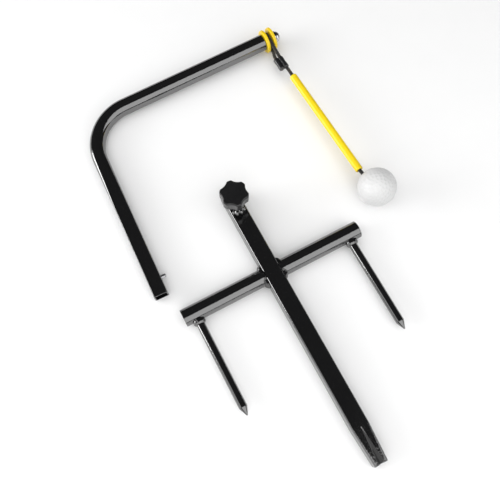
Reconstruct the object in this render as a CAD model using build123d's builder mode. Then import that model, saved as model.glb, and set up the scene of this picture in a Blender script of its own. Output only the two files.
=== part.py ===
"""Swing trainer: a ground stake with a clamp, an L-shaped arm and a tethered ball, laid out flat.

Millimetres. +Z is up and z = 0 is the surface that everything lies on. The origin is on that
surface, under the point where the stake and its crossbar cross. +Y runs along the stake towards
its clamp, +X along the crossbar.
"""
from build123d import *
from math import cos, pi, radians, sin, tan
import os

# Ground stake: a square tube, socket at the top and crimped to a blade at the bottom
STAKE_SIZE = 19.05
STAKE_WALL = 1.5
STAKE_CORNER = 2.5
POST_TOP = 102.7
BLADE_START = -178.3
BLADE_TIP = -216.9
BLADE_WIDTH = 14.6
BLADE_HEIGHT = 18.0
# The groove pressed into the blade's top and bottom, as (half width, depth), at its start and tip
GROOVE_START = (0.4, 0.05)
GROOVE_TIP = (3.4, 5.0)
GROOVE_INNER_EXTRA = 0.8
STAKE_AXIS_Z = STAKE_SIZE / 2
SOCKET_BUTTON_Y = 21.1
SOCKET_BUTTON_RADIUS = 2.5

# Crossbar: two round tubes butt-welded to the post, and two pointed prongs
TUBE_DIA = 19.05
TUBE_WALL = 1.2
TUBE_END_CHAMFER = 0.25
CROSSBAR_REACH = 105.3
WELD_GAP = 0.02
WELD_LEG = 4.0
WELD_INSET = 2.4
PRONG_RADIUS = 4.5
PRONG_ROOT_RADIUS = 4.2
PRONG_ROOT_Y = -14.2
PRONG_TIP_Y = -117.0
PRONG_TIP_RADIUS = 0.6
PRONG_POINT = 9.0
PRONG_X = 92.0
PRONG_WELD_RADIUS = 7.0
PRONG_WELD_LENGTH = 4.5
SIDES = {"left": -1, "right": 1}

# Clamp: a star knob on a threaded bolt that runs down through a weld nut
CLAMP_Y = 86.2
BOLT_RADIUS = 3.95
BOLT_TIP_CHAMFER = 0.6
THREAD_PITCH = 1.25
RUNNING = 0.05
BOSS_RADIUS = 9.0
BOSS_HEIGHT = 7.0
BOSS_CHAMFER = 0.8
BOSS_WELD_LEG = 4.8
BOSS_WELD_HEIGHT = 2.4
CLAMP_WASHER_RADIUS = 8.0
CLAMP_WASHER_Z = 28.7
CLAMP_WASHER_THICK = 1.2
KNOB_LOBES = 6
KNOB_RADIUS = 15.6
KNOB_LOBE_ANGLE = 24.0
KNOB_HOLLOW_RADIUS = 12.0
KNOB_HOLLOW_REACH = 13.4
KNOB_LOBE_FILLET = 2.5
KNOB_TOP_FILLET = 2.0
KNOB_BASE_FILLET = 1.0
KNOB_BASE_Z = 33.8
KNOB_TOP_Z = 47.0
HUB_RADIUS = 7.5
HUB_Z = CLAMP_WASHER_Z + CLAMP_WASHER_THICK + 0.1
HEAD_FLATS = 13.0
HEAD_HEIGHT = 5.3
HEAD_Z = KNOB_BASE_Z + 3.0
BOLT_TIP_Z = STAKE_SIZE - STAKE_WALL + 0.4

# Arm: a round tube bent to an L, whose leg is pressed square. It lies a little tilted, on its
# washers, its bend and the end of its leg.
ARM_CORNER = (-106.05, 257.8, 8.88)
ARM_SLOPE_X = 0.0196
ARM_SLOPE_Y = 0.0030
ARM_REACH = 234.3
LEG_REACH = 225.3
LEG_LEAN = 2.3
BEND_RADIUS = 52.0
LEG_SIZE = 15.6
LEG_CORNER = 1.8
LEG_SQUARE_FROM = 116.0
# Sections of the bend and shoulder: distance round the bend in degrees, or down the leg in mm
BEND_SECTIONS = [(0, 19.05, 9.5), (22, 18.6, 9.1), (44, 17.8, 8.2), (66, 17.1, 7.2), (88, 16.7, 6.2)]
SHOULDER_SECTIONS = [(83, 16.2, 4.2), (LEG_SQUARE_FROM, LEG_SIZE, LEG_CORNER)]

# Snap button and its leaf spring inside the leg
BUTTON_FROM_END = 19.4
BUTTON_RADIUS = 2.2
BUTTON_END_FILLET = 1.3
BUTTON_FLANGE = 1.2
BUTTON_PROUD = 5.5
BUTTON_SEAT = 4.0
SPRING_THICK = 0.8
SPRING_WIDTH = 7.0
SPRING_BELOW_BUTTON = 7.0
SPRING_FOLD_BELOW = 37.0
SPRING_CLEAR = 0.15

# Swivel: an axle bolt held in a plug, two washers, a bushing between them and a cap nut
AXLE_RADIUS = 4.0
PLUG_LENGTH = 14.0
WASHER_RADIUS = 13.5
WASHER_THICK = 3.6
WASHER_RIM_FILLET = 1.0
WASHER_GAP = 5.2
SIDE_PLAY = 0.3
BUSHING_RADIUS = 5.0
CAP_NUT_FLATS = 13.0
CAP_NUT_HEX = 3.6
CAP_NUT_HEIGHT = 8.6
CAP_NUT_DOME_RADIUS = 6.1
CAP_NUT_DOME_FILLET = 4.8
AXLE_HEAD = 4.0
AXLE_IN_CAP_NUT = 5.0

# Tether: a cord doubled round the bushing, crimped, then through a sleeve to the ball
CORD_RADIUS = 2.1
CORD_ROUTE = [
    (129.68, 212.7, 15.32),
    (129.07, 231.6, 14.77),
    (134.85, 243.0, 8.4),
    (134.85, 260.0, 5.95),
    (134.8, 265.0, 10.25),
    (134.7, 265.0, 16.95),
    (134.65, 259.7, 21.4),
    (134.9, 231.6, 14.77),
    (140.46, 50.3, 20.07),
    (144.75, 33.9, 21.06),
]
CORD_RADII = [11.0, 10.0, 6.5, 6.4, 6.4, 6.3, 30.0, 10.0]
CLAMP_LENGTH = 14.0
CLAMP_BARREL_RADIUS = 3.3
CLAMP_FROM = 4.0
SLEEVE_FROM = 33.2
SLEEVE_LENGTH = 142.5
SLEEVE_RADIUS = 4.4
SLEEVE_CLEARANCE = 0.1
BALL_CENTRE = (145.95, 29.2, 21.335)
BALL_RADIUS = 21.335
BALL_COVER = 1.8
BALL_BORE_RADIUS = 2.4
BORE_OVERRUN = 3.0
COVER_CUT = 8.0
ANCHOR_RADIUS = 4.0
ANCHOR_LENGTH = 7.0
ANCHOR_CLEARANCE = 0.3

os.makedirs("parts", exist_ok=True)
written = []


def keep(piece, label):
    """Label a finished piece and write it as its own STEP file."""
    piece.part.label = label
    export_step(piece.part, f"parts/{label}.step")
    written.append(label)


def plane_along(start, end):
    """A plane at start whose normal points to end."""
    return Plane(origin=start, z_dir=Vector(*end) - Vector(*start))


# ---------------------------------------------------------------- ground stake
def square_ring(plane, size, corner, wall):
    """A square tube's section on a plane."""
    with BuildSketch(plane) as ring:
        RectangleRounded(size, size, corner)
        RectangleRounded(size - 2 * wall, size - 2 * wall, corner - wall, mode=Mode.SUBTRACT)
    return ring.sketch


def blade_section(plane, width, height, groove, corner):
    """The crimped tube's outline: a box with a V groove in the middle of its top and bottom."""
    half_w, half_h = width / 2, height / 2
    half_groove, depth = groove
    upper = [
        (half_w, half_h), (half_groove, half_h), (0, half_h - depth),
        (-half_groove, half_h), (-half_w, half_h),
    ]
    lower = [(-x, -y) for x, y in upper]
    with BuildSketch(plane) as section:
        with BuildLine():
            Polyline(*upper, *lower, close=True)
        make_face()
        fillet([v for v in section.vertices() if abs(v.X) > half_w - 0.1], corner)
    return section.sketch


def inner_groove(groove):
    """The groove as it shows on the inside of the wall."""
    return (groove[0] + GROOVE_INNER_EXTRA, groove[1])


def downward_plane(x, y):
    """Across the stake or a prong at height y, facing the points."""
    return Plane(origin=(x, y, STAKE_AXIS_Z), x_dir=(1, 0, 0), z_dir=(0, -1, 0))


BLADE_PLANE = downward_plane(0, BLADE_START)
TIP_PLANE = downward_plane(0, BLADE_TIP)
INNER_START = STAKE_SIZE - 2 * STAKE_WALL
INNER_WIDTH = BLADE_WIDTH - 2 * STAKE_WALL
INNER_HEIGHT = BLADE_HEIGHT - 2 * STAKE_WALL
INNER_CORNER = STAKE_CORNER - STAKE_WALL

with BuildPart() as stake_tube:
    tube_section = square_ring(downward_plane(0, POST_TOP), STAKE_SIZE, STAKE_CORNER, STAKE_WALL)
    extrude(tube_section, amount=POST_TOP - BLADE_START)
    loft([
        blade_section(BLADE_PLANE, STAKE_SIZE, STAKE_SIZE, GROOVE_START, STAKE_CORNER),
        blade_section(TIP_PLANE, BLADE_WIDTH, BLADE_HEIGHT, GROOVE_TIP, STAKE_CORNER),
    ], ruled=True)
    loft([
        blade_section(BLADE_PLANE, INNER_START, INNER_START, inner_groove(GROOVE_START), INNER_CORNER),
        blade_section(TIP_PLANE, INNER_WIDTH, INNER_HEIGHT, inner_groove(GROOVE_TIP), INNER_CORNER),
    ], ruled=True, mode=Mode.SUBTRACT)
    # clamp bolt hole in the top wall, snap button hole in the right wall
    with BuildSketch(Plane.XY.offset(STAKE_SIZE + 1)):
        with Locations((0, CLAMP_Y)):
            Circle(BOLT_RADIUS + RUNNING)
    extrude(amount=-STAKE_WALL - 2, mode=Mode.SUBTRACT)
    with BuildSketch(Plane.YZ.offset(STAKE_SIZE / 2 + 1)):
        with Locations((SOCKET_BUTTON_Y, STAKE_AXIS_Z)):
            Circle(SOCKET_BUTTON_RADIUS)
    extrude(amount=-STAKE_WALL - 2, mode=Mode.SUBTRACT)
keep(stake_tube, "stake_tube")


# ---------------------------------------------------------------- crossbar and prongs
TUBE_RADIUS = TUBE_DIA / 2
ROOT_X = STAKE_SIZE / 2 + WELD_GAP


def outward_plane(x, sign):
    """Across the crossbar at x, facing its end on that side."""
    return Plane(origin=(x, 0, TUBE_RADIUS), x_dir=(0, 1, 0), z_dir=(sign, 0, 0))


for side, sign in SIDES.items():
    with BuildPart() as crossbar:
        with BuildSketch(outward_plane(sign * ROOT_X, sign)):
            Circle(TUBE_RADIUS)
            Circle(TUBE_RADIUS - TUBE_WALL, mode=Mode.SUBTRACT)
        extrude(amount=CROSSBAR_REACH - ROOT_X)
        rims = crossbar.edges().filter_by(GeomType.CIRCLE).sort_by(Axis((0, 0, 0), (sign, 0, 0)))
        chamfer(rims[-2:], TUBE_END_CHAMFER)
    keep(crossbar, f"crossbar_{side}")

for side, sign in SIDES.items():
    x = sign * PRONG_X
    with BuildPart() as prong:
        with BuildSketch(downward_plane(x, 0)):
            Circle(PRONG_ROOT_RADIUS)
        extrude(amount=-PRONG_ROOT_Y)
        with BuildSketch(downward_plane(x, PRONG_ROOT_Y)):
            Circle(PRONG_RADIUS)
        extrude(amount=PRONG_ROOT_Y - PRONG_TIP_Y - PRONG_POINT)
        with BuildSketch(downward_plane(x, PRONG_TIP_Y + PRONG_POINT)):
            Circle(PRONG_RADIUS)
        with BuildSketch(downward_plane(x, PRONG_TIP_Y)):
            Circle(PRONG_TIP_RADIUS)
        loft(ruled=True)
        # coped to sit on the crossbar's round side
        with BuildSketch(outward_plane(x - TUBE_RADIUS, 1)):
            Circle(TUBE_RADIUS + WELD_GAP)
        extrude(amount=TUBE_DIA, mode=Mode.SUBTRACT)
    keep(prong, f"prong_{side}")


# ---------------------------------------------------------------- weld beads
def weld_profile(radius, leg, length):
    """A bead's half section, from its root on the axis side: a concave triangle."""
    return [(radius, 0), (radius + leg, 0), (radius + leg * 0.3, length * 0.34), (radius, length)]


with BuildPart() as crossbar_welds:
    for sign in SIDES.values():
        face_x = sign * ROOT_X
        bead = Plane(origin=(face_x, 0, TUBE_RADIUS), x_dir=(0, 1, 0), z_dir=(0, 0, -sign))
        with BuildSketch(bead):
            with BuildLine():
                Polyline(*weld_profile(TUBE_RADIUS + WELD_GAP, WELD_LEG, WELD_LEG), close=True)
            make_face()
        revolve(axis=Axis(origin=(face_x, 0, TUBE_RADIUS), direction=(1, 0, 0)))
    # the beads fill the two corners beside each half, not the space over and under it
    with BuildSketch(Plane.XY.offset(WELD_INSET)):
        Rectangle(2 * CROSSBAR_REACH, 2 * CROSSBAR_REACH)
    extrude(amount=STAKE_SIZE - 2 * WELD_INSET, mode=Mode.INTERSECT)
keep(crossbar_welds, "crossbar_welds")

with BuildPart() as prong_welds:
    for sign in SIDES.values():
        with BuildSketch(downward_plane(sign * PRONG_X, -TUBE_RADIUS + 2.5)):
            Circle(PRONG_WELD_RADIUS)
        with BuildSketch(downward_plane(sign * PRONG_X, -TUBE_RADIUS - PRONG_WELD_LENGTH)):
            Circle(PRONG_RADIUS + 0.3)
        loft(ruled=True)
    with BuildSketch(outward_plane(-CROSSBAR_REACH, 1)):
        Circle(TUBE_RADIUS + WELD_GAP)
    extrude(amount=2 * CROSSBAR_REACH, mode=Mode.SUBTRACT)
    for sign in SIDES.values():
        with BuildSketch(downward_plane(sign * PRONG_X, 0)):
            Circle(PRONG_ROOT_RADIUS + WELD_GAP)
        extrude(amount=-PRONG_ROOT_Y, mode=Mode.SUBTRACT)
keep(prong_welds, "prong_welds")


# ---------------------------------------------------------------- clamp
def clamp_plane(z):
    """A level plane centred on the clamp bolt."""
    return Plane(origin=(0, CLAMP_Y, z))


with BuildPart() as clamp_boss:
    with BuildSketch(clamp_plane(STAKE_SIZE)):
        Circle(BOSS_RADIUS)
        Circle(BOLT_RADIUS + RUNNING, mode=Mode.SUBTRACT)
    extrude(amount=BOSS_HEIGHT)
    top_rims = clamp_boss.edges().filter_by(GeomType.CIRCLE).group_by(Axis.Z)[-1]
    chamfer(top_rims.sort_by(SortBy.RADIUS)[-1], BOSS_CHAMFER)
keep(clamp_boss, "clamp_boss")

with BuildPart() as boss_weld:
    with BuildSketch(Plane(origin=(0, CLAMP_Y, STAKE_SIZE), x_dir=(1, 0, 0), z_dir=(0, -1, 0))):
        with BuildLine():
            Polyline(*weld_profile(BOSS_RADIUS + WELD_GAP, BOSS_WELD_LEG, BOSS_WELD_HEIGHT), close=True)
        make_face()
    revolve(axis=Axis(origin=(0, CLAMP_Y, STAKE_SIZE), direction=(0, 0, 1)))
    # two runs, in front of the boss and behind it, on the flat of the post
    with BuildSketch(clamp_plane(STAKE_SIZE)):
        Rectangle(STAKE_SIZE - 2 * STAKE_CORNER, 4 * BOSS_RADIUS)
    extrude(amount=BOSS_WELD_HEIGHT, mode=Mode.INTERSECT)
keep(boss_weld, "boss_weld")

with BuildPart() as clamp_washer:
    with BuildSketch(clamp_plane(CLAMP_WASHER_Z)):
        Circle(CLAMP_WASHER_RADIUS)
        Circle(BOLT_RADIUS + RUNNING, mode=Mode.SUBTRACT)
    extrude(amount=CLAMP_WASHER_THICK)
keep(clamp_washer, "clamp_washer")


def knob_outline(plane, radius):
    """A disc with shallow round hollows between its lobes."""
    with BuildSketch(plane) as star:
        Circle(radius)
        hollow_angle = KNOB_LOBE_ANGLE + 180 / KNOB_LOBES
        with PolarLocations(KNOB_HOLLOW_REACH + KNOB_HOLLOW_RADIUS, KNOB_LOBES, start_angle=hollow_angle):
            Circle(KNOB_HOLLOW_RADIUS, mode=Mode.SUBTRACT)
        fillet(star.vertices(), KNOB_LOBE_FILLET)
    return star.sketch


with BuildPart() as clamp_bolt:
    with BuildSketch(clamp_plane(BOLT_TIP_Z)):
        Circle(BOLT_RADIUS)
    extrude(amount=HEAD_Z - BOLT_TIP_Z)
    chamfer(clamp_bolt.faces().sort_by(Axis.Z)[0].edges(), BOLT_TIP_CHAMFER)
    with BuildSketch(clamp_plane(HEAD_Z)):
        RegularPolygon(HEAD_FLATS / 2, 6, major_radius=False)
    extrude(amount=HEAD_HEIGHT)
keep(clamp_bolt, "clamp_bolt")

with BuildPart() as knob_grip:
    extrude(knob_outline(clamp_plane(KNOB_BASE_Z), KNOB_RADIUS), amount=KNOB_TOP_Z - KNOB_BASE_Z)
    fillet(knob_grip.faces().sort_by(Axis.Z)[-1].edges(), KNOB_TOP_FILLET)
    fillet(knob_grip.faces().sort_by(Axis.Z)[0].edges(), KNOB_BASE_FILLET)
    with BuildSketch(clamp_plane(HUB_Z)):
        Circle(HUB_RADIUS)
    extrude(until=Until.NEXT)
    with BuildSketch(clamp_plane(STAKE_SIZE)):
        Circle(BOLT_RADIUS)
    extrude(amount=HEAD_Z - STAKE_SIZE, mode=Mode.SUBTRACT)
    with BuildSketch(clamp_plane(HEAD_Z)):
        RegularPolygon(HEAD_FLATS / 2, 6, major_radius=False)
    extrude(amount=HEAD_HEIGHT, mode=Mode.SUBTRACT)
keep(knob_grip, "knob_grip")


# ---------------------------------------------------------------- arm
ARM = Plane(origin=ARM_CORNER, x_dir=(1, 0, ARM_SLOPE_X), z_dir=(-ARM_SLOPE_X, -ARM_SLOPE_Y, 1))
LEG_DIR = (-sin(radians(LEG_LEAN)), -cos(radians(LEG_LEAN)))
BEND_TURN = 90 - LEG_LEAN
BEND_TANGENT = BEND_RADIUS * tan(radians(BEND_TURN / 2))


def arm_point(x, y, z=0.0):
    """A point given in the arm's own plane, its corner at the origin."""
    return ARM.from_local_coords(Vector(x, y, z))


def arm_direction(x, y, z=0.0):
    """A direction given in the arm's own plane."""
    return ARM.x_dir * x + ARM.y_dir * y + ARM.z_dir * z


def reach_plane(x):
    """Across the horizontal tube, x along it from the corner, facing the swivel."""
    return Plane(origin=arm_point(x, 0), x_dir=ARM.z_dir, z_dir=ARM.x_dir)


def leg_plane(distance):
    """Across the leg, at a distance from the corner, facing its open end."""
    return Plane(origin=arm_point(LEG_DIR[0] * distance, LEG_DIR[1] * distance),
                 x_dir=ARM.z_dir, z_dir=arm_direction(*LEG_DIR))


def bend_plane(turned):
    """Across the tube inside the bend, after so many degrees of it."""
    angle = radians(90 + turned * BEND_TURN / 88)
    centre = (BEND_TANGENT, -BEND_RADIUS)
    return Plane(origin=arm_point(centre[0] + BEND_RADIUS * cos(angle), centre[1] + BEND_RADIUS * sin(angle)),
                 x_dir=ARM.z_dir, z_dir=arm_direction(-sin(angle), cos(angle)))


def rounded_square(plane, size, corner):
    """A square section with rounded corners."""
    with BuildSketch(plane) as square:
        RectangleRounded(size, size, corner)
    return square.sketch


def arm_solid(shrink, mode):
    """The arm's outer body, or its bore when shrink is the wall."""
    with BuildSketch(reach_plane(BEND_TANGENT)) as round_end:
        Circle(TUBE_RADIUS - shrink)
    extrude(round_end.sketch, amount=ARM_REACH - BEND_TANGENT, mode=mode)
    sections = [(bend_plane(turned), size, corner) for turned, size, corner in BEND_SECTIONS]
    sections += [(leg_plane(distance), size, corner) for distance, size, corner in SHOULDER_SECTIONS]
    faces = [rounded_square(plane, size - 2 * shrink, max(corner - shrink, 0.6))
             for plane, size, corner in sections]
    bend_end = len(BEND_SECTIONS) - 1
    loft(faces[:bend_end + 1], mode=mode)
    loft(faces[bend_end:], ruled=True, mode=mode)
    extrude(faces[-1], amount=LEG_REACH - LEG_SQUARE_FROM, mode=mode)


BUTTON_AT = LEG_REACH - BUTTON_FROM_END
BUTTON_AXIS = (-LEG_DIR[1], LEG_DIR[0])


def button_plane(outward):
    """Square to the snap button, so far out from the leg's axis."""
    x = LEG_DIR[0] * BUTTON_AT + BUTTON_AXIS[0] * outward
    y = LEG_DIR[1] * BUTTON_AT + BUTTON_AXIS[1] * outward
    return Plane(origin=arm_point(x, y), x_dir=ARM.z_dir, z_dir=arm_direction(*BUTTON_AXIS))


with BuildPart() as arm_tube:
    arm_solid(0, Mode.ADD)
    arm_solid(TUBE_WALL, Mode.SUBTRACT)
    with BuildSketch(button_plane(2)):
        Circle(BUTTON_RADIUS + RUNNING)
    extrude(amount=LEG_SIZE, mode=Mode.SUBTRACT)
keep(arm_tube, "arm_tube")

BUTTON_TOP = LEG_SIZE / 2 + BUTTON_PROUD
with BuildPart() as snap_button:
    with BuildSketch(button_plane(BUTTON_SEAT)):
        Circle(BUTTON_RADIUS + BUTTON_FLANGE)
    extrude(amount=BUTTON_FLANGE)
    with BuildSketch(button_plane(BUTTON_SEAT)):
        Circle(BUTTON_RADIUS)
    extrude(amount=BUTTON_TOP - BUTTON_SEAT)
    fillet(snap_button.edges().filter_by(GeomType.CIRCLE).sort_by(Axis.X)[-1], BUTTON_END_FILLET)
keep(snap_button, "snap_button")

# leaf spring: down the far wall, back at a fold and up under the button, as (along, across) points
SPRING_WALL = TUBE_WALL + SPRING_CLEAR - LEG_SIZE / 2
SPRING_LIFT = BUTTON_SEAT - SPRING_CLEAR
SPRING_TOP = BUTTON_AT - SPRING_FOLD_BELOW
SPRING_END = BUTTON_AT + SPRING_BELOW_BUTTON
SPRING_KNEE = BUTTON_AT - SPRING_BELOW_BUTTON
SPRING_LEAF = [
    (SPRING_TOP, SPRING_WALL), (SPRING_END, SPRING_WALL), (SPRING_END, SPRING_WALL + SPRING_THICK),
    (SPRING_TOP + 5 * SPRING_THICK, SPRING_WALL + SPRING_THICK),
    (SPRING_KNEE, SPRING_LIFT - SPRING_THICK), (SPRING_END, SPRING_LIFT - SPRING_THICK),
    (SPRING_END, SPRING_LIFT), (SPRING_KNEE - SPRING_THICK, SPRING_LIFT),
    (SPRING_TOP, SPRING_WALL + SPRING_THICK * 1.5),
]
SPRING_PLANE = Plane(origin=arm_point(0, 0), x_dir=arm_direction(*LEG_DIR),
                     z_dir=arm_direction(0, 0, 1))
with BuildPart() as snap_spring:
    with BuildSketch(SPRING_PLANE):
        with BuildLine():
            Polyline(*SPRING_LEAF, close=True)
        make_face()
    extrude(amount=SPRING_WIDTH / 2, both=True)
keep(snap_spring, "snap_spring")


# ---------------------------------------------------------------- swivel
def disc(start, radius, bore, length):
    """A washer or bushing on the axle, from start along the arm."""
    with BuildSketch(reach_plane(start)) as ring:
        Circle(radius)
        if bore:
            Circle(bore, mode=Mode.SUBTRACT)
    extrude(ring.sketch, amount=length)


AXLE_BORE = AXLE_RADIUS + RUNNING
INNER_WASHER_AT = ARM_REACH + SIDE_PLAY
BUSHING_AT = INNER_WASHER_AT + WASHER_THICK + SIDE_PLAY
BUSHING_LENGTH = WASHER_GAP - 2 * SIDE_PLAY
OUTER_WASHER_AT = BUSHING_AT + BUSHING_LENGTH + SIDE_PLAY
CAP_NUT_AT = OUTER_WASHER_AT + WASHER_THICK + SIDE_PLAY
AXLE_END = CAP_NUT_AT + AXLE_IN_CAP_NUT

with BuildPart() as axle_plug:
    disc(ARM_REACH - PLUG_LENGTH, TUBE_RADIUS - TUBE_WALL, AXLE_RADIUS, PLUG_LENGTH)
keep(axle_plug, "axle_plug")

with BuildPart() as axle_bolt:
    with BuildSketch(reach_plane(ARM_REACH - PLUG_LENGTH - AXLE_HEAD)):
        RegularPolygon(CAP_NUT_FLATS / 2, 6, major_radius=False)
    extrude(amount=AXLE_HEAD)
    disc(ARM_REACH - PLUG_LENGTH, AXLE_RADIUS, 0, AXLE_END - ARM_REACH + PLUG_LENGTH)
keep(axle_bolt, "axle_bolt")

for label, start in (("inner_washer", INNER_WASHER_AT), ("outer_washer", OUTER_WASHER_AT)):
    with BuildPart() as washer:
        disc(start, WASHER_RADIUS, AXLE_BORE, WASHER_THICK)
        rims = washer.edges().filter_by(GeomType.CIRCLE).sort_by(SortBy.RADIUS)[-2:]
        fillet(rims, WASHER_RIM_FILLET)
    keep(washer, label)

with BuildPart() as swivel_bushing:
    disc(BUSHING_AT, BUSHING_RADIUS, AXLE_BORE, BUSHING_LENGTH)
keep(swivel_bushing, "swivel_bushing")

with BuildPart() as cap_nut:
    with BuildSketch(reach_plane(CAP_NUT_AT)):
        RegularPolygon(CAP_NUT_FLATS / 2, 6, major_radius=False)
    extrude(amount=CAP_NUT_HEX)
    disc(CAP_NUT_AT + CAP_NUT_HEX, CAP_NUT_DOME_RADIUS, 0, CAP_NUT_HEIGHT - CAP_NUT_HEX)
    fillet(cap_nut.edges().filter_by(GeomType.CIRCLE).sort_by(Axis.X)[-1], CAP_NUT_DOME_FILLET)
    with BuildSketch(reach_plane(CAP_NUT_AT)):
        Circle(AXLE_RADIUS)
    extrude(amount=AXLE_END - CAP_NUT_AT, mode=Mode.SUBTRACT)
keep(cap_nut, "cap_nut")


# ---------------------------------------------------------------- tether
STRAIGHT_TOP = Vector(*CORD_ROUTE[7])
STRAIGHT_END = Vector(*CORD_ROUTE[8])
CORD_DIR = (STRAIGHT_END - STRAIGHT_TOP).normalized()

with BuildPart() as tether_cord:
    with BuildLine():
        FilletPolyline(*CORD_ROUTE, radius=CORD_RADII)
    cord_length = tether_cord.pending_edges_as_wire.length
    with BuildSketch(plane_along(CORD_ROUTE[0], CORD_ROUTE[1])):
        Circle(CORD_RADIUS)
    sweep()
keep(tether_cord, "tether_cord")


def cord_plane(distance):
    """Across the straight cord, so far below the top of its straight run."""
    return Plane(origin=STRAIGHT_TOP + CORD_DIR * distance, x_dir=(1, 0, 0), z_dir=CORD_DIR)


TAIL_OFFSET = cord_plane(CLAMP_FROM).to_local_coords(Vector(*CORD_ROUTE[1]))
with BuildPart() as cord_clamp:
    with BuildSketch(cord_plane(CLAMP_FROM)):
        Circle(CLAMP_BARREL_RADIUS)
        with Locations((TAIL_OFFSET.X, TAIL_OFFSET.Y)):
            Circle(CLAMP_BARREL_RADIUS)
    extrude(amount=CLAMP_LENGTH)
    with BuildSketch(cord_plane(CLAMP_FROM - 1)):
        Circle(CORD_RADIUS)
        with Locations((TAIL_OFFSET.X, TAIL_OFFSET.Y)):
            Circle(CORD_RADIUS)
    extrude(amount=CLAMP_LENGTH + 2, mode=Mode.SUBTRACT)
keep(cord_clamp, "cord_clamp")

with BuildPart() as grip_sleeve:
    with BuildSketch(cord_plane(SLEEVE_FROM)):
        Circle(SLEEVE_RADIUS)
        Circle(CORD_RADIUS + SLEEVE_CLEARANCE, mode=Mode.SUBTRACT)
    extrude(amount=SLEEVE_LENGTH)
keep(grip_sleeve, "grip_sleeve")


# ---------------------------------------------------------------- ball
def ball_plane(distance):
    """Across the bore in the ball, so far in from where the cord enters."""
    inward = (Vector(*CORD_ROUTE[9]) - STRAIGHT_END).normalized()
    return Plane(origin=STRAIGHT_END + inward * distance, z_dir=inward)


CORD_IN_BALL = (Vector(*CORD_ROUTE[9]) - STRAIGHT_END).length
CORE_RADIUS = BALL_RADIUS - BALL_COVER

with BuildPart() as ball_cover:
    with Locations(BALL_CENTRE):
        Sphere(BALL_RADIUS)
        Sphere(CORE_RADIUS, mode=Mode.SUBTRACT)
    with BuildSketch(ball_plane(-BORE_OVERRUN)):
        Circle(BALL_BORE_RADIUS)
    extrude(amount=COVER_CUT, mode=Mode.SUBTRACT)
keep(ball_cover, "ball_cover")

with BuildPart() as ball_core:
    with Locations(BALL_CENTRE):
        Sphere(CORE_RADIUS)
    with BuildSketch(ball_plane(-BORE_OVERRUN)):
        Circle(BALL_BORE_RADIUS)
    extrude(amount=CORD_IN_BALL, mode=Mode.SUBTRACT)
    with BuildSketch(ball_plane(CORD_IN_BALL - ANCHOR_LENGTH)):
        Circle(ANCHOR_RADIUS)
    extrude(amount=ANCHOR_LENGTH + ANCHOR_CLEARANCE, mode=Mode.SUBTRACT)
keep(ball_core, "ball_core")

with BuildPart() as cord_anchor:
    with BuildSketch(ball_plane(CORD_IN_BALL - ANCHOR_LENGTH)):
        Circle(ANCHOR_RADIUS)
        Circle(CORD_RADIUS, mode=Mode.SUBTRACT)
    extrude(amount=ANCHOR_LENGTH)
keep(cord_anchor, "cord_anchor")


# ---------------------------------------------------------------- what the pieces came to
section = pi * CORD_RADIUS ** 2
print(len(written), "pieces")
print("knob travel per turn", THREAD_PITCH)
print("cord length", round(cord_length, 1))
print("cord volume over section", round(tether_cord.part.volume / section, 1))
print("cord radii", CORD_RADII)
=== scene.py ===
"""Looks for the swing trainer: a ground stake with a clamp, an L-shaped arm and a tethered ball.

Metres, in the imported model's frame: +Y along the stake towards its clamp, +X along the crossbar,
+Z up, and z = 0 is the surface that everything lies on.
"""
import math
import bmesh
import bpy
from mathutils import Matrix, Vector
from mathutils.kdtree import KDTree


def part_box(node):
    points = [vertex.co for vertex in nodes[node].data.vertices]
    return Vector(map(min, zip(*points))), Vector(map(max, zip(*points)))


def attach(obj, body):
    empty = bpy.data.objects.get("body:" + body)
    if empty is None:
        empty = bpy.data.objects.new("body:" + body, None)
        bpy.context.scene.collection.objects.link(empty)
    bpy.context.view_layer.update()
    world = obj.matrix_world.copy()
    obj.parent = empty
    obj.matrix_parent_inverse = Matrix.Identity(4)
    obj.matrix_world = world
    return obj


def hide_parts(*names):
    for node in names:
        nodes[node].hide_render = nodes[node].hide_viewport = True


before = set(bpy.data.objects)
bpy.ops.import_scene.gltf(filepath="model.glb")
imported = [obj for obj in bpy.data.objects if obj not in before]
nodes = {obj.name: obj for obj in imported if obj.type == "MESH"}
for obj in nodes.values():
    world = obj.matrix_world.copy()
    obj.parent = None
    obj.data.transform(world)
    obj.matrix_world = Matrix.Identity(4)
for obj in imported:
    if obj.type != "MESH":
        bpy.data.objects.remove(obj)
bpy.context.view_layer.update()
scene = bpy.context.scene


# ---------------------------------------------------------------- camera
CAMERA_PLACE = (-0.10285, -0.1427, 0.6248)
CAMERA_AIM = Vector((-0.00755, 0.0365, 0.0))
LENS, SENSOR_WIDTH = 43.2, 36
CLIP_NEAR, CLIP_FAR = 0.01, 50


def add_camera():
    """The camera of the main view: high over the set, a little from the left and the front."""
    data = bpy.data.cameras.new("camera")
    data.lens = LENS
    data.sensor_width = SENSOR_WIDTH
    data.clip_start = CLIP_NEAR
    data.clip_end = CLIP_FAR
    camera = bpy.data.objects.new("camera", data)
    camera.location = CAMERA_PLACE
    camera.rotation_euler = (CAMERA_AIM - camera.location).to_track_quat("-Z", "Y").to_euler()
    scene.collection.objects.link(camera)
    scene.camera = camera


add_camera()
scene.view_settings.view_transform = "Standard"


# ---------------------------------------------------------------- mesh helpers
def new_object(name, verts, faces, smooth=True):
    """A mesh object from points and faces."""
    mesh = bpy.data.meshes.new(name)
    mesh.from_pydata([tuple(v) for v in verts], [], faces)
    mesh.update()
    bm = bmesh.new()
    bm.from_mesh(mesh)
    bmesh.ops.recalc_face_normals(bm, faces=bm.faces)
    bm.to_mesh(mesh)
    bm.free()
    for polygon in mesh.polygons:
        polygon.use_smooth = smooth
    piece = bpy.data.objects.new(name, mesh)
    scene.collection.objects.link(piece)
    return piece


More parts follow.
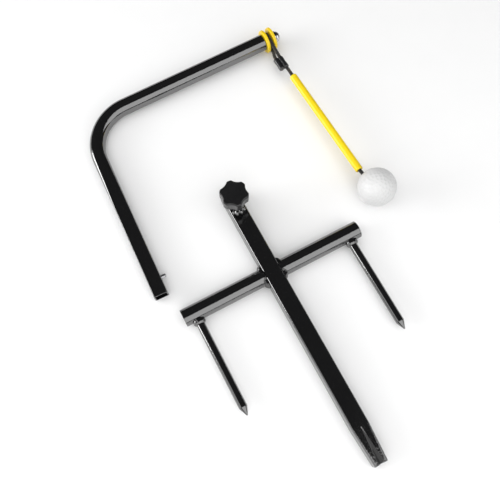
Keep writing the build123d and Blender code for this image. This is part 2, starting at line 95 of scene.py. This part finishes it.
def grid_faces(rows, columns, wrap_rows=False):
    """Faces of a tube of rings: each ring has so many columns and closes on itself."""
    faces = []
    for i in range(rows if wrap_rows else rows - 1):
        for j in range(columns):
            a, b = i * columns + j, i * columns + (j + 1) % columns
            c, d = (i + 1) % rows * columns + (j + 1) % columns, (i + 1) % rows * columns + j
            faces.append((a, b, c, d))
    return faces


def capped(rows, columns):
    """Tube faces with a flat cap on each end ring."""
    last = (rows - 1) * columns
    return grid_faces(rows, columns) + [tuple(range(columns)), tuple(range(last, last + columns))]


def frames_along(points):
    """Two directions across a path at each of its points, carried along without twist."""
    tangents = []
    for i in range(len(points)):
        ahead, behind = points[min(i + 1, len(points) - 1)], points[max(i - 1, 0)]
        tangents.append((ahead - behind).normalized())
    side = tangents[0].orthogonal().normalized()
    out = []
    for i, tangent in enumerate(tangents):
        if i:
            side = (tangents[i - 1].rotation_difference(tangent) @ side)
            side = (side - tangent * side.dot(tangent)).normalized()
        out.append((side, tangent.cross(side)))
    return out


# ---------------------------------------------------------------- materials
def material(name, colour, metallic=0.0, roughness=0.3, ior=1.5, coat=0.0, coat_roughness=0.05,
             sheen=0.0):
    """A new material with its Principled shader's constant values set."""
    made = bpy.data.materials.new(name)
    made.use_nodes = True
    shader = made.node_tree.nodes["Principled BSDF"]
    shader.inputs["Base Color"].default_value = (*colour, 1)
    shader.inputs["Metallic"].default_value = metallic
    shader.inputs["Roughness"].default_value = roughness
    shader.inputs["IOR"].default_value = ior
    shader.inputs["Coat Weight"].default_value = coat
    shader.inputs["Coat Roughness"].default_value = coat_roughness
    shader.inputs["Sheen Weight"].default_value = sheen
    return made, made.node_tree, shader


def node(tree, kind, **values):
    """A shader node with its sockets and properties set."""
    made = tree.nodes.new(kind)
    for key, value in values.items():
        if key in made.inputs:
            made.inputs[key].default_value = value
        else:
            setattr(made, key, value)
    return made


def noise_of(tree, scale, detail=3.0, roughness=0.5, stretch=None):
    """Noise in the piece's own coordinates, with a scale in cycles per metre."""
    coordinates = node(tree, "ShaderNodeTexCoord")
    source = coordinates.outputs["Object"]
    if stretch:
        mapping = node(tree, "ShaderNodeMapping")
        mapping.inputs["Scale"].default_value = stretch
        tree.links.new(source, mapping.inputs["Vector"])
        source = mapping.outputs["Vector"]
    made = node(tree, "ShaderNodeTexNoise", Scale=scale, Detail=detail, Roughness=roughness)
    tree.links.new(source, made.inputs["Vector"])
    return made.outputs["Fac"]


def ranged(tree, source, low, high, to_low, to_high):
    """A value moved from one range to another, clamped."""
    made = node(tree, "ShaderNodeMapRange")
    ends = {"From Min": low, "From Max": high, "To Min": to_low, "To Max": to_high}
    for socket, value in ends.items():
        made.inputs[socket].default_value = value
    tree.links.new(source, made.inputs["Value"])
    return made.outputs["Result"]


def mixed(tree, factor, first, second):
    """A colour between two, by a factor."""
    made = node(tree, "ShaderNodeMix", data_type="RGBA")
    tree.links.new(factor, made.inputs["Factor"])
    for socket, value in ((made.inputs[6], first), (made.inputs[7], second)):
        if isinstance(value, tuple):
            socket.default_value = (*value, 1)
        else:
            tree.links.new(value, socket)
    return made.outputs[2]


def bumped(tree, shader, height, distance):
    """Bump from a height."""
    made = node(tree, "ShaderNodeBump", Strength=1.0, Distance=distance)
    tree.links.new(height, made.inputs["Height"])
    tree.links.new(made.outputs["Normal"], shader.inputs["Normal"])


def vary_colour(tree, shader, source, band, first, second):
    """A base colour that goes from one to another as a noise rises through a band."""
    factor = ranged(tree, source, *band, 0, 1)
    tree.links.new(mixed(tree, factor, first, second), shader.inputs["Base Color"])


def vary_roughness(tree, shader, source, band, low, high):
    """A roughness that goes from low to high as a noise rises through a band."""
    tree.links.new(ranged(tree, source, *band, low, high), shader.inputs["Roughness"])


WIDE_BAND = (0.3, 0.7)
ENAMEL_COLOUR = (0.0032, 0.0032, 0.0035)
DUST_COLOUR, DUST_BAND = (0.05, 0.05, 0.052), (0.69, 0.78)
PEEL_DEPTH = 0.00006
CLOUD_BAND, CLOUD_SHADE = (0.35, 0.65), 0.72
TURNED_DEPTH = 0.00002
GRAIN_BAND = (0.25, 0.75)
CORD_COLOUR = (0.012, 0.011, 0.01)
BROWN_THREAD, BROWN_BAND = (0.085, 0.06, 0.035), (0.6, 0.68)
FIBRE_DEPTH = 0.00008


def enamel(name, ripple=0.0, roughness=(0.05, 0.11), ior=2.6):
    """Gloss black baked enamel: orange peel, dust and small marks."""
    made, tree, shader = material(name, ENAMEL_COLOUR, roughness=roughness[0], ior=ior)
    peel = noise_of(tree, 420, 2)
    patches = noise_of(tree, 38, 4)
    specks = noise_of(tree, 2600, 1)
    vary_colour(tree, shader, specks, DUST_BAND, ENAMEL_COLOUR, DUST_COLOUR)
    vary_roughness(tree, shader, patches, WIDE_BAND, *roughness)
    bumped(tree, shader, peel, PEEL_DEPTH + ripple)
    return made


def plated(name, colour=(0.62, 0.62, 0.64), roughness=0.28):
    """Zinc-plated steel with fine turned lines and clouding."""
    made, tree, shader = material(name, colour, metallic=1.0, roughness=roughness)
    cloud = noise_of(tree, 300, 4)
    grain = noise_of(tree, 2200, 2, stretch=(1, 1, 6))
    dark = tuple(c * CLOUD_SHADE for c in colour)
    vary_colour(tree, shader, cloud, CLOUD_BAND, dark, colour)
    vary_roughness(tree, shader, grain, WIDE_BAND, roughness * 0.7, roughness * 1.4)
    bumped(tree, shader, grain, TURNED_DEPTH)
    return made


def plastic(name, colour, shade, roughness, grain_scale, grain_depth, ior=1.5, coat=0.0):
    """Moulded plastic: a faint colour drift and a fine grain."""
    made, tree, shader = material(name, colour, roughness=roughness, ior=ior, coat=coat,
                                  coat_roughness=0.2)
    drift = noise_of(tree, 90, 3)
    grain = noise_of(tree, grain_scale, 2)
    vary_colour(tree, shader, drift, WIDE_BAND, shade, colour)
    vary_roughness(tree, shader, grain, GRAIN_BAND, roughness * 0.85, roughness * 1.2)
    bumped(tree, shader, grain, grain_depth)
    return made


BLACK = enamel("black_enamel")
WELD = enamel("weld_enamel", 0.00003, roughness=(0.14, 0.24), ior=1.9)
PLATED = plated("plated_steel")
CHROME = plated("chrome_steel", (0.72, 0.72, 0.74), 0.14)
SPRING = plated("spring_steel", (0.3, 0.31, 0.34), 0.32)
KNOB = plastic("knob_plastic", (0.009, 0.009, 0.0095), (0.007, 0.007, 0.0075), 0.3, 1500, 0.00003,
               ior=1.6)
BLACK_PLASTIC = plastic("black_plastic", (0.014, 0.014, 0.015), (0.01, 0.01, 0.011), 0.27, 1400,
                        0.00004, ior=1.8)
YELLOW = plastic("yellow_plastic", (0.86, 0.62, 0.008), (0.8, 0.55, 0.006), 0.3, 800, 0.00002)
SLEEVE_YELLOW = plastic("sleeve_yellow", (0.87, 0.64, 0.008), (0.82, 0.58, 0.006), 0.24, 500,
                        0.00002)
BALL_WHITE = plastic("ball_white", (0.65, 0.65, 0.65), (0.63, 0.63, 0.63), 0.42, 900, 0.00001,
                     coat=0.12)
RUBBER = plastic("ball_rubber", (0.2, 0.26, 0.36), (0.16, 0.22, 0.3), 0.6, 700, 0.00006)


def cord_material():
    """Braided black polyester with a few brown threads."""
    made, tree, shader = material("braided_cord", CORD_COLOUR, roughness=0.62, sheen=0.25)
    fibres = noise_of(tree, 3200, 2, stretch=(1, 0.35, 1))
    flecks = noise_of(tree, 430, 2)
    vary_colour(tree, shader, flecks, BROWN_BAND, CORD_COLOUR, BROWN_THREAD)
    bumped(tree, shader, fibres, FIBRE_DEPTH)
    return made


CORD = cord_material()


def dress(piece, made):
    """Gives a new piece its material."""
    piece.data.materials.clear()
    piece.data.materials.append(made)


# ---------------------------------------------------------------- the cord
CORD_DIAMETER = 0.0042
ROUTE = [
    (0.12968, 0.2127, 0.01532),
    (0.12907, 0.2316, 0.01477),
    (0.13485, 0.2430, 0.0084),
    (0.13485, 0.2600, 0.00595),
    (0.1348, 0.2650, 0.01025),
    (0.1347, 0.2650, 0.01695),
    (0.13465, 0.2597, 0.0214),
    (0.1349, 0.2316, 0.01477),
    (0.13579, 0.20273, 0.01561),
    (0.13994, 0.06728, 0.01957),
    (0.14046, 0.0503, 0.02007),
    (0.14475, 0.0339, 0.02106),
]
CORD_STEP, CORD_SIDES = 0.00042, 36
BRAID_CARRIERS, BRAID_PITCH, BRAID_DEPTH = 6, 0.0028, 0.00034
BRAID_OVERLAP = 0.22


def spline_points(name, route):
    """Closely spaced points read from the route's own smooth spline."""
    curve = bpy.data.curves.new(name, "CURVE")
    curve.dimensions = "3D"
    curve.resolution_u = 64
    spline = curve.splines.new("NURBS")
    spline.points.add(len(route) - 1)
    for point, place in zip(spline.points, route):
        point.co = (*place, 1)
    spline.order_u = 3
    spline.use_endpoint_u = True
    holder = bpy.data.objects.new(name, curve)
    scene.collection.objects.link(holder)
    bpy.context.view_layer.update()
    mesh = bpy.data.meshes.new_from_object(holder)
    points = [v.co.copy() for v in mesh.vertices]
    bpy.data.objects.remove(holder)
    bpy.data.meshes.remove(mesh)
    return points


def evenly(points, step):
    """The same line with its points a step apart."""
    out, need = [points[0].copy()], step
    for a, b in zip(points, points[1:]):
        run = (b - a).length
        while run >= need > 0:
            a = a + (b - a).normalized() * need
            out.append(a.copy())
            run = (b - a).length
            need = step
        need -= run
    out.append(points[-1].copy())
    return out


def braided_tube(name, points, radius, carriers, pitch, depth, sides):
    """A mesh tube along points whose surface is a diamond braid, over one and under one."""
    verts = []
    along = 0.0
    for i, (point, (side, up)) in enumerate(zip(points, frames_along(points))):
        if i:
            along += (point - points[i - 1]).length
        turn = 2 * math.pi * along / pitch
        for j in range(sides):
            angle = 2 * math.pi * j / sides
            over = BRAID_OVERLAP * math.cos(carriers * angle)
            right = abs(math.cos((carriers * angle + turn) / 2)) + over
            left = abs(math.cos((carriers * angle - turn) / 2)) - over
            height = min(max(right, left), 1 + BRAID_OVERLAP) / (1 + BRAID_OVERLAP)
            r = radius - depth * (1 - height)
            verts.append(point + (side * math.cos(angle) + up * math.sin(angle)) * r)
    return new_object(name, verts, capped(len(points), sides))


cord_path = evenly(spline_points("cord_route", ROUTE), CORD_STEP)
cord = braided_tube("braided_cord", cord_path, CORD_DIAMETER / 2, BRAID_CARRIERS, BRAID_PITCH,
                    BRAID_DEPTH, CORD_SIDES)
dress(cord, CORD)
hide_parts("tether_cord")
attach(cord, "tether")

STRAIGHT_TOP = Vector(ROUTE[7])
STRAIGHT_END = Vector(ROUTE[10])
CORD_DIR = (STRAIGHT_END - STRAIGHT_TOP).normalized()


# ---------------------------------------------------------------- crimp and sleeve
def lathe_rings(start, direction, profile, sides, name):
    """A closed ring solid: a (distance, radius) profile turned about a line."""
    side = direction.orthogonal().normalized()
    up = direction.cross(side)
    verts = []
    for distance, radius in profile:
        for j in range(sides):
            angle = 2 * math.pi * j / sides
            verts.append(start + direction * distance
                         + (side * math.cos(angle) + up * math.sin(angle)) * radius)
    return new_object(name, verts, grid_faces(len(profile), sides, wrap_rows=True))


def arc(centre, radius, start, end, steps):
    """Points round part of a circle, angles in degrees."""
    return [(centre[0] + radius * math.cos(math.radians(start + (end - start) * k / steps)),
             centre[1] + radius * math.sin(math.radians(start + (end - start) * k / steps)))
            for k in range(steps + 1)]


SLEEVE_FROM, SLEEVE_LENGTH = 0.0332, 0.1425
SLEEVE_RADIUS, SLEEVE_BORE = 0.0044, 0.0022
# the bore opens towards the ball, to clear the cord's bend when the sleeve slides down
SLEEVE_FLARE, FLARE_LENGTH = 0.0008, 0.008
SLEEVE_STATIONS, SLEEVE_SIDES = 48, 56
LIP, LIP_STEPS = 0.0008, 6
BORE_EDGE = 0.0003
sleeve_profile = arc((LIP, SLEEVE_RADIUS - LIP), LIP, 180, 90, LIP_STEPS)
for k in range(1, SLEEVE_STATIONS):
    at = LIP + (SLEEVE_LENGTH - 2 * LIP) * k / SLEEVE_STATIONS
    uneven = 0.00003 * math.sin(k * 1.7) + 0.00002 * math.sin(k * 0.6 + 1)
    sleeve_profile.append((at, SLEEVE_RADIUS + uneven))
sleeve_profile += arc((SLEEVE_LENGTH - LIP, SLEEVE_RADIUS - LIP), LIP, 90, 0, LIP_STEPS)
sleeve_profile += [(SLEEVE_LENGTH - BORE_EDGE, SLEEVE_BORE + SLEEVE_FLARE),
                   (SLEEVE_LENGTH - FLARE_LENGTH, SLEEVE_BORE),
                   (2 * BORE_EDGE, SLEEVE_BORE), (BORE_EDGE, SLEEVE_BORE + 0.0001)]
sleeve = lathe_rings(STRAIGHT_TOP + CORD_DIR * SLEEVE_FROM, CORD_DIR, sleeve_profile, SLEEVE_SIDES,
                     "sleeve_yellow_tube")
dress(sleeve, SLEEVE_YELLOW)
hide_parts("grip_sleeve")
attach(sleeve, "sleeve")


CRIMP_FROM, CRIMP_LENGTH, CRIMP_RADIUS = 0.0028, 0.0162, 0.0033
CRIMP_EDGE, CRIMP_WAIST, CRIMP_NECK = 0.0011, 0.00022, 0.42


def crimp():
    """The two-barrel crimp: a figure-of-eight outline, rounded ends and a pressed middle."""
    start = STRAIGHT_TOP + CORD_DIR * CRIMP_FROM
    tail = Vector(ROUTE[1]) - STRAIGHT_TOP
    across = tail - CORD_DIR * tail.dot(CORD_DIR)
    gap = across.length
    across.normalize()
    up = CORD_DIR.cross(across)
    sides, rings = 120, 26
    verts = []
    for i in range(rings):
        t = i / (rings - 1)
        short = max(CRIMP_EDGE - min(t, 1 - t) * CRIMP_LENGTH, 0)
        inset = CRIMP_EDGE - math.sqrt(max(CRIMP_EDGE ** 2 - short ** 2, 0))
        waist = CRIMP_WAIST * math.exp(-((t - 0.5) / 0.16) ** 2)
        r = CRIMP_RADIUS - inset - waist
        centre = start + CORD_DIR * (t * CRIMP_LENGTH)
        for j in range(sides):
            angle = 2 * math.pi * j / sides
            ca, sa = math.cos(angle), math.sin(angle)
            # out to the farther of the two barrels' edges in this direction from the middle
            root = max(r * r - (gap / 2 * sa) ** 2, 0.0)
            span = max(abs(ca) * gap / 2 + math.sqrt(root), CRIMP_NECK * r)
            verts.append(centre + across * (gap / 2) + (across * ca + up * sa) * span)
    return new_object("cord_crimp", verts, capped(rings, sides))


crimp_piece = crimp()
dress(crimp_piece, BLACK_PLASTIC)
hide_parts("cord_clamp")
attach(crimp_piece, "tether")


# ---------------------------------------------------------------- ball
BALL_LOW, BALL_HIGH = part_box("ball_cover")
BALL_RADIUS = 0.021335
BALL_CENTRE = (BALL_LOW + BALL_HIGH) / 2
DIMPLES = 336
DIMPLE_RADIUS = 0.00195
DIMPLE_DEPTH = 0.00032
HOLE_RADIUS, HOLE_EDGE, HOLE_DEPTH = 0.0030, 0.0008, 0.0016


def dimple_directions(count):
    """Evenly spread directions on a sphere, along a golden-angle spiral."""
    golden = math.pi * (3 - math.sqrt(5))
    points = []
    for i in range(count):
        z = 1 - 2 * (i + 0.5) / count
        r = math.sqrt(1 - z * z)
        points.append(Vector((r * math.cos(golden * i), r * math.sin(golden * i), z)))
    return points


def dimpled_ball():
    """A ball with real dimples and the hole that the cord goes into."""
    bm = bmesh.new()
    bmesh.ops.create_icosphere(bm, subdivisions=7, radius=1)
    centres = dimple_directions(DIMPLES)
    tree = KDTree(len(centres))
    for i, c in enumerate(centres):
        tree.insert(c, i)
    tree.balance()
    entry = (STRAIGHT_END - BALL_CENTRE).normalized()
    for v in bm.verts:
        direction = v.co.normalized()
        _, _, chord = tree.find(direction)
        distance = chord * BALL_RADIUS
        depth = 0.0
        if distance < DIMPLE_RADIUS:
            x = distance / DIMPLE_RADIUS
            depth = DIMPLE_DEPTH * (1 - x * x) ** 0.8
        hole = (direction - entry).length * BALL_RADIUS
        if hole < HOLE_RADIUS:
            depth = HOLE_DEPTH * min((HOLE_RADIUS - hole) / HOLE_EDGE, 1)
        v.co = BALL_CENTRE + direction * (BALL_RADIUS - depth)
    mesh = bpy.data.meshes.new("dimpled_ball")
    bm.to_mesh(mesh)
    bm.free()
    for polygon in mesh.polygons:
        polygon.use_smooth = True
    piece = bpy.data.objects.new("dimpled_ball", mesh)
    scene.collection.objects.link(piece)
    return piece


ball = dimpled_ball()
dress(ball, BALL_WHITE)
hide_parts("ball_cover")
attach(ball, "tether")


# ---------------------------------------------------------------- weld beads
TUBE_RADIUS = 0.009525
STAKE_HALF = 0.009525
PRONG_X = 0.092
SINK = 0.00003


def ripple(turn, lag, count, depth):
    """The small overlapping steps of a weld run, as a height at a turn round the joint."""
    phase = (turn * count + lag) % 1.0
    return depth * (1 - abs(2 * phase - 1)) ** 0.6


def bead_mesh(name, rings, closed):
    """A weld bead from its cross-sections, in order along the run."""
    columns = len(rings[0])
    verts = [point for ring in rings for point in ring]
    if closed:
        faces = grid_faces(len(rings), columns, wrap_rows=True)
    else:
        faces = capped(len(rings), columns)
    return new_object(name, verts, faces)


def join_pieces(pieces):
    """Several meshes as one, under the first one's name."""
    first = pieces[0]
    bm = bmesh.new()
    for piece in pieces:
        bm.from_mesh(piece.data)
    bm.to_mesh(first.data)
    bm.free()
    for polygon in first.data.polygons:
        polygon.use_smooth = True
    for piece in pieces[1:]:
        bpy.data.objects.remove(piece)
    return first


def corner_bead(x_sign, y_sign):
    """A fillet run in the corner between the stake's side and one half of the crossbar."""
    leg_full, span, stations, steps, side_reach = 0.0041, math.radians(80), 150, 9, 0.0084
    rings = []
    for i in range(stations):
        turn = 2 * i / (stations - 1) - 1
        angle = turn * span
        fade = min(max((1 - abs(turn)) / 0.3, 0.0), 1.0)
        wander = 0.00014 * math.sin(turn * 7.3 + x_sign + 2 * y_sign)
        leg = 0.0004 + (leg_full - 0.0004) * fade ** 0.7 + wander
        # the foot on the stake's side stays under the rounded corner of the tube
        foot = min(leg, max(side_reach / max(abs(math.sin(angle)), 0.01) - TUBE_RADIUS, 0.0003))
        section = [(TUBE_RADIUS - SINK, -SINK), (TUBE_RADIUS + foot, -SINK)]
        for k in range(1, steps):
            t = k / steps
            swell = 4 * t * (1 - t)
            lift = foot * (0.08 * swell + swell * ripple(turn, 0.25 * swell, 13, 0.035))
            section.append((TUBE_RADIUS + foot * (1 - t) + lift, leg * t + lift))
        section.append((TUBE_RADIUS - SINK, leg))
        rings.append([Vector((x_sign * (STAKE_HALF + out), y_sign * radius * math.cos(angle),
                              TUBE_RADIUS + radius * math.sin(angle))) for radius, out in section])
    return bead_mesh("crossing_bead", rings, closed=False)


def prong_bead(sign):
    """A bulging run round the root of a prong, its foot on the crossbar's round side."""
    inner, swell_out, end_y, stations, steps = 0.00421, 0.0024, -0.01395, 240, 10
    rings = []
    for i in range(stations):
        turn = i / stations
        angle = 2 * math.pi * turn
        wander = 0.00014 * math.sin(3 * angle + sign) + 0.0001 * math.sin(5 * angle)
        section = []
        foot = inner + swell_out + wander
        foot_y = -math.sqrt((TUBE_RADIUS - SINK) ** 2 - (foot * math.sin(angle)) ** 2)
        root_y = -math.sqrt((TUBE_RADIUS - SINK) ** 2 - (inner * math.sin(angle)) ** 2)
        section.append((inner, root_y))
        section.append((foot, foot_y))
        for k in range(1, steps + 1):
            t = math.pi / 2 * k / steps
            swell = math.sin(2 * t)
            lift = swell * ripple(turn, 0.3 * swell, 15, 0.00028)
            radius = inner + 0.0003 + (swell_out + wander - 0.0003) * math.cos(t) ** 0.75 + lift
            section.append((radius, foot_y + (end_y - foot_y) * math.sin(t)))
        section.append((inner, end_y))
        rings.append([Vector((sign * PRONG_X + radius * math.cos(angle), y,
                              TUBE_RADIUS + radius * math.sin(angle))) for radius, y in section])
    return bead_mesh("prong_bead", rings, closed=True)


CLAMP_Y = 0.0862
STAKE_TOP = 0.01905


def boss_run(y_sign):
    """A short lumpy run on one side of the weld nut, on the flat top of the post."""
    inner, leg_full, height_full, half_turn = 0.00902, 0.0062, 0.0033, math.radians(42)
    stations, steps = 90, 8
    rings = []
    for i in range(stations):
        turn = 2 * i / (stations - 1) - 1
        angle = y_sign * math.pi / 2 + turn * half_turn
        fade = math.sqrt(max(1 - turn ** 4, 0.02))
        lump = 0.62 + 0.38 * abs(math.cos(1.9 * math.pi * turn + y_sign))
        leg, height = leg_full * fade * lump, height_full * fade * lump
        section = [(inner, STAKE_TOP - SINK), (inner + leg, STAKE_TOP - SINK)]
        for k in range(1, steps):
            t = math.pi / 2 * k / steps
            section.append((inner + leg * math.cos(t) ** 0.8,
                            STAKE_TOP + height * math.sin(t) ** 0.8))
        section.append((inner, STAKE_TOP + height))
        rings.append([Vector((radius * math.cos(angle), CLAMP_Y + radius * math.sin(angle), z))
                      for radius, z in section])
    return bead_mesh("boss_bead", rings, closed=False)


crossing_beads = join_pieces([corner_bead(x_sign, y_sign)
                              for x_sign in (-1, 1) for y_sign in (-1, 1)])
prong_beads = join_pieces([prong_bead(-1), prong_bead(1)])
boss_beads = join_pieces([boss_run(-1), boss_run(1)])
for beads, made, replaced in ((crossing_beads, WELD, "crossbar_welds"),
                              (prong_beads, BLACK, "prong_welds"),
                              (boss_beads, BLACK, "boss_weld")):
    dress(beads, made)
    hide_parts(replaced)
    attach(beads, "stake")


# ---------------------------------------------------------------- clamp bolt and cap nut
# a chamfered corner's reach as a share of the width over flats; a sharp corner's is 0.577
CORNER_SHARE = 0.575


def hexagon(flats, angle):
    """A hexagon's radius in a direction."""
    return flats / 2 / math.cos((angle + math.pi / 6) % (math.pi / 3) - math.pi / 6)


def turned_solid(name, origin, axis, side, stations, sides):
    """A capped solid whose radius at each station depends on the angle round the axis."""
    up = axis.cross(side)
    verts = []
    for distance, radius_at in stations:
        for j in range(sides):
            angle = 2 * math.pi * j / sides
            verts.append(origin + axis * distance
                         + (side * math.cos(angle) + up * math.sin(angle)) * radius_at(angle))
    return new_object(name, verts, capped(len(stations), sides))


def threaded_bolt():
    """The clamp bolt: a cut thread, a chamfered tip and the hexagon head inside the knob."""
    major, depth, pitch, length = 0.00395, 0.00062, 0.00125, 0.01885
    tip, head_height, chamfer_height, flats, per_turn = 0.0006, 0.0053, 0.0005, 0.013, 10
    count = round(length / pitch * per_turn)

    def thread_at(distance):
        chamfer = max(tip - distance, 0.0)

        def radius_at(angle):
            phase = (distance / pitch - angle / (2 * math.pi)) % 1.0
            return min(major - depth * min(abs(2 * phase - 1) * 1.25, 1.0), major - chamfer)
        return radius_at

    stations = [(length * i / count, thread_at(length * i / count)) for i in range(count + 1)]
    corner, end = flats * CORNER_SHARE, length + head_height
    for distance, limit in ((length, corner - chamfer_height), (length + chamfer_height, corner),
                            (end - chamfer_height, corner), (end, corner - chamfer_height)):
        stations.append((distance, lambda angle, limit=limit: min(hexagon(flats, angle), limit)))
    return turned_solid("clamp_bolt_threaded", Vector((0, CLAMP_Y, 0.01795)), Vector((0, 0, 1)),
                        Vector((1, 0, 0)), stations, 60)


bolt = threaded_bolt()
dress(bolt, PLATED)
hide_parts("clamp_bolt")
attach(bolt, "knob")


def acorn_nut():
    """The cap nut on the axle: a hexagon with chamfered corners, a collar and a dome."""
    flats, hex_length, dome_radius, dome_round, height = 0.013, 0.0036, 0.0061, 0.0048, 0.0086
    corner = flats * CORNER_SHARE
    stations = []
    for distance, limit in ((0.0, corner - 0.0007), (0.0005, corner), (hex_length - 0.0006, corner),
                            (hex_length, corner - 0.0009)):
        stations.append((distance, lambda angle, limit=limit: min(hexagon(flats, angle), limit)))
    stations.append((hex_length + 0.00002, lambda angle: dome_radius - 0.0002))
    for k in range(15):
        turn = math.pi / 2 * k / 14
        stations.append((height - dome_round + dome_round * math.sin(turn),
                         lambda angle, turn=turn: dome_radius - dome_round * (1 - math.cos(turn))))
    return turned_solid("acorn_nut", Vector((0.1412025, 0.2578, 0.0137261)),
                        Vector((0.999808, 0, 0.019596)), Vector((-0.019596, 0, 0.999808)),
                        stations, 72)


nut = acorn_nut()
dress(nut, CHROME)
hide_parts("cap_nut")
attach(nut, "arm")


# ---------------------------------------------------------------- CAD nodes that stay
CARRIED = {
    "stake_tube": BLACK, "crossbar_left": BLACK, "crossbar_right": BLACK, "prong_left": BLACK,
    "prong_right": BLACK, "clamp_boss": BLACK, "arm_tube": BLACK,
    "clamp_washer": PLATED, "axle_plug": PLATED, "axle_bolt": PLATED,
    "cord_anchor": PLATED, "snap_button": PLATED, "snap_spring": SPRING,
    "knob_grip": KNOB, "swivel_bushing": BLACK_PLASTIC,
    "inner_washer": YELLOW, "outer_washer": YELLOW,
    "ball_core": RUBBER,
}
for name, made in CARRIED.items():
    for slot in nodes[name].material_slots:
        slot.material = made


# ---------------------------------------------------------------- floor, lights and surroundings
FLOOR_HALF = 1.7
REFLECTED_STRENGTH, SEEN_STRENGTH = 0.03, 0.9


def add_floor():
    """A plain white table."""
    corners = [(-FLOOR_HALF, -FLOOR_HALF, 0), (FLOOR_HALF, -FLOOR_HALF, 0),
               (FLOOR_HALF, FLOOR_HALF, 0), (-FLOOR_HALF, FLOOR_HALF, 0)]
    floor = new_object("floor", corners, [(0, 1, 2, 3)], smooth=False)
    made, tree, shader = material("floor_white", (0.88, 0.88, 0.88), roughness=0.6)
    fine = noise_of(tree, 30, 4)
    tone = mixed(tree, fine, (0.87, 0.87, 0.87), (0.89, 0.89, 0.89))
    tree.links.new(tone, shader.inputs["Base Color"])
    floor.data.materials.append(made)


def area_light(name, centre, aim, width, height, radiance):
    """A softbox of a given radiance, which the camera itself doesn't see."""
    data = bpy.data.lights.new(name, "AREA")
    data.shape = "RECTANGLE"
    data.size = width
    data.size_y = height
    data.energy = radiance * math.pi * width * height
    light = bpy.data.objects.new(name, data)
    light.location = centre
    light.rotation_euler = (Vector(aim) - Vector(centre)).to_track_quat("-Z", "Y").to_euler()
    light.visible_camera = False
    scene.collection.objects.link(light)
    return light


def softbox_between(name, upper, lower, x_from, x_to, radiance):
    """A softbox whose upper and lower edges run along X, given as (y, z)."""
    height = math.hypot(upper[0] - lower[0], upper[1] - lower[1])
    centre = Vector(((x_from + x_to) / 2, (upper[0] + lower[0]) / 2, (upper[1] + lower[1]) / 2))
    along = Vector((0, upper[0] - lower[0], upper[1] - lower[1])).normalized()
    normal = Vector((1, 0, 0)).cross(along)
    if normal.z > 0:
        normal = -normal
    return area_light(name, centre, centre + normal, x_to - x_from, height, radiance)


def add_world():
    """Dark surroundings for the reflections, and a pale backdrop behind the table for the eye."""
    world = bpy.data.worlds.new("studio")
    world.use_nodes = True
    scene.world = world
    tree = world.node_tree
    background = tree.nodes["Background"]
    background.inputs["Color"].default_value = (1, 1, 1, 1)
    path = tree.nodes.new("ShaderNodeLightPath")
    strength = tree.nodes.new("ShaderNodeMapRange")
    strength.inputs["To Min"].default_value = REFLECTED_STRENGTH
    strength.inputs["To Max"].default_value = SEEN_STRENGTH
    tree.links.new(path.outputs["Is Camera Ray"], strength.inputs["Value"])
    tree.links.new(strength.outputs["Result"], background.inputs["Strength"])


add_floor()
add_world()
softbox_between("front_softbox", upper=(-0.46, 1.611), lower=(-2.6, 0.42), x_from=-1.5, x_to=2.6,
                radiance=1.5)
# name, centre, aim, width, height, radiance, and whether reflections show it
for *light, in_gloss in (
        ("left_strip", (-1.9, 0.95, 0.46), (0, 0.1, 0.0), 1.4, 0.75, 6.5, True),
        ("left_wall", (-2.1, -0.5, 0.9), (0, 0.1, 0.0), 1.8, 1.6, 1.0, True),
        ("overhead_fill", (-0.3, 0.5, 2.6), (-0.1, 0.2, 0.0), 4.0, 4.0, 1.25, False),
        ("left_fill", (-1.7, 0.9, 0.75), (0, 0.1, 0.0), 1.6, 0.9, 3.4, False)):
    area_light(*light).visible_glossy = in_gloss
